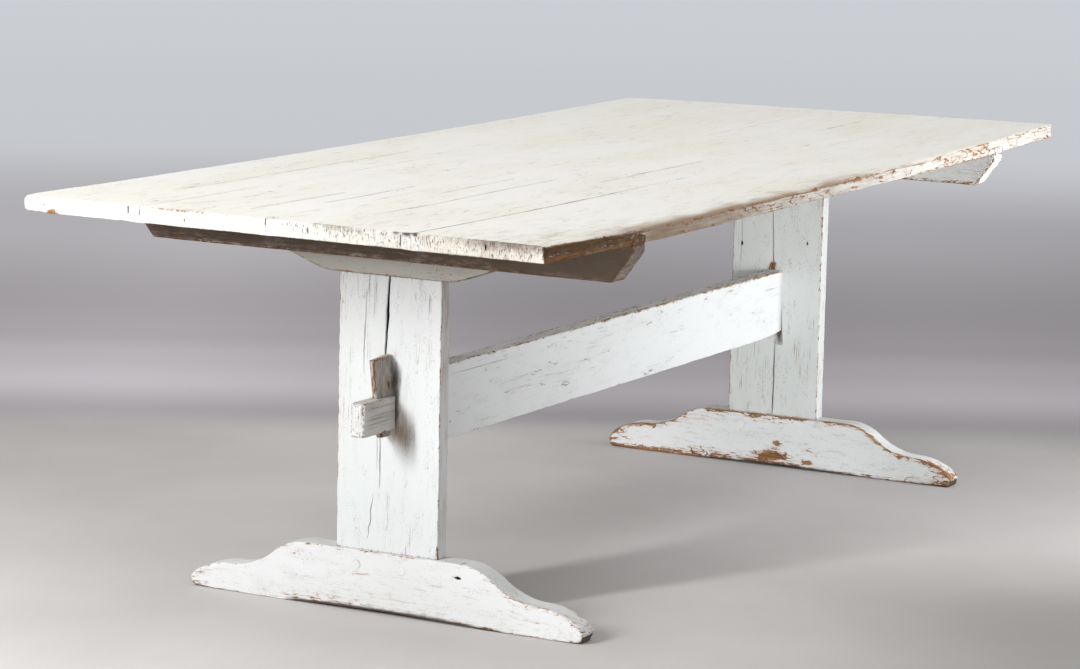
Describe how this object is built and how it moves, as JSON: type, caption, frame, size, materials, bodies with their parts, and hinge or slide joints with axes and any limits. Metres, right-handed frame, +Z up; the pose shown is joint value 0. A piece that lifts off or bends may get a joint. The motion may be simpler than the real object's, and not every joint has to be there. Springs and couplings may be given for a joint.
{
  "type": "sawbuck table",
  "caption": "Long plank dining table: loose board top on cross battens, resting on plank trestles with shaped feet, held by a stretcher with wedged through tenons.",
  "frame": {"origin": "on the floor, under the middle of the top", "axes": "+X along the length from the left trestle to the right one, +Y to the back edge, +Z up"},
  "size_m": [2.24, 1, 0.735],
  "materials": {
    "top_paint": "worn chalky white paint on softwood planks",
    "batten_paint": "grimy white paint on softwood",
    "trestle_paint": "worn chalky white paint on softwood, bare at the edges",
    "stretcher_paint": "worn chalky white paint on softwood",
    "wedge_wood": "thin grey-white paint worn to bare wood",
    "peg_wood": "painted end grain"
  },
  "bodies": {
    "frame": {"left_foot": "trestle_paint", "left_leg": "trestle_paint", "left_saddle": "trestle_paint", "left_foot_back_peg": "peg_wood", "left_foot_front_peg": "peg_wood", "left_saddle_back_peg": "peg_wood", "left_saddle_front_peg": "peg_wood", "right_foot": "trestle_paint", "right_leg": "trestle_paint", "right_saddle": "trestle_paint", "right_foot_back_peg": "peg_wood", "right_foot_front_peg": "peg_wood", "right_saddle_back_peg": "peg_wood", "right_saddle_front_peg": "peg_wood", "stretcher": "stretcher_paint"},
    "top": {"back_board": "top_paint", "back_middle_board": "top_paint", "front_middle_board": "top_paint", "front_board": "top_paint", "left_batten": "batten_paint", "right_batten": "batten_paint"},
    "left_wedge": {"left_wedge": "wedge_wood"},
    "right_wedge": {"right_wedge": "wedge_wood"}
  },
  "joints": [
    {"name": "top_lift", "type": "slide", "parent": "frame", "child": "top", "axis": [0, 0, 1], "range_m": [0, 0.25]},
    {"name": "left_wedge_lift", "type": "slide", "parent": "frame", "child": "left_wedge", "axis": [0, 0, 1], "range_m": [0, 0.1]},
    {"name": "right_wedge_lift", "type": "slide", "parent": "frame", "child": "right_wedge", "axis": [0, 0, 1], "range_m": [0, 0.1]}
  ]
}
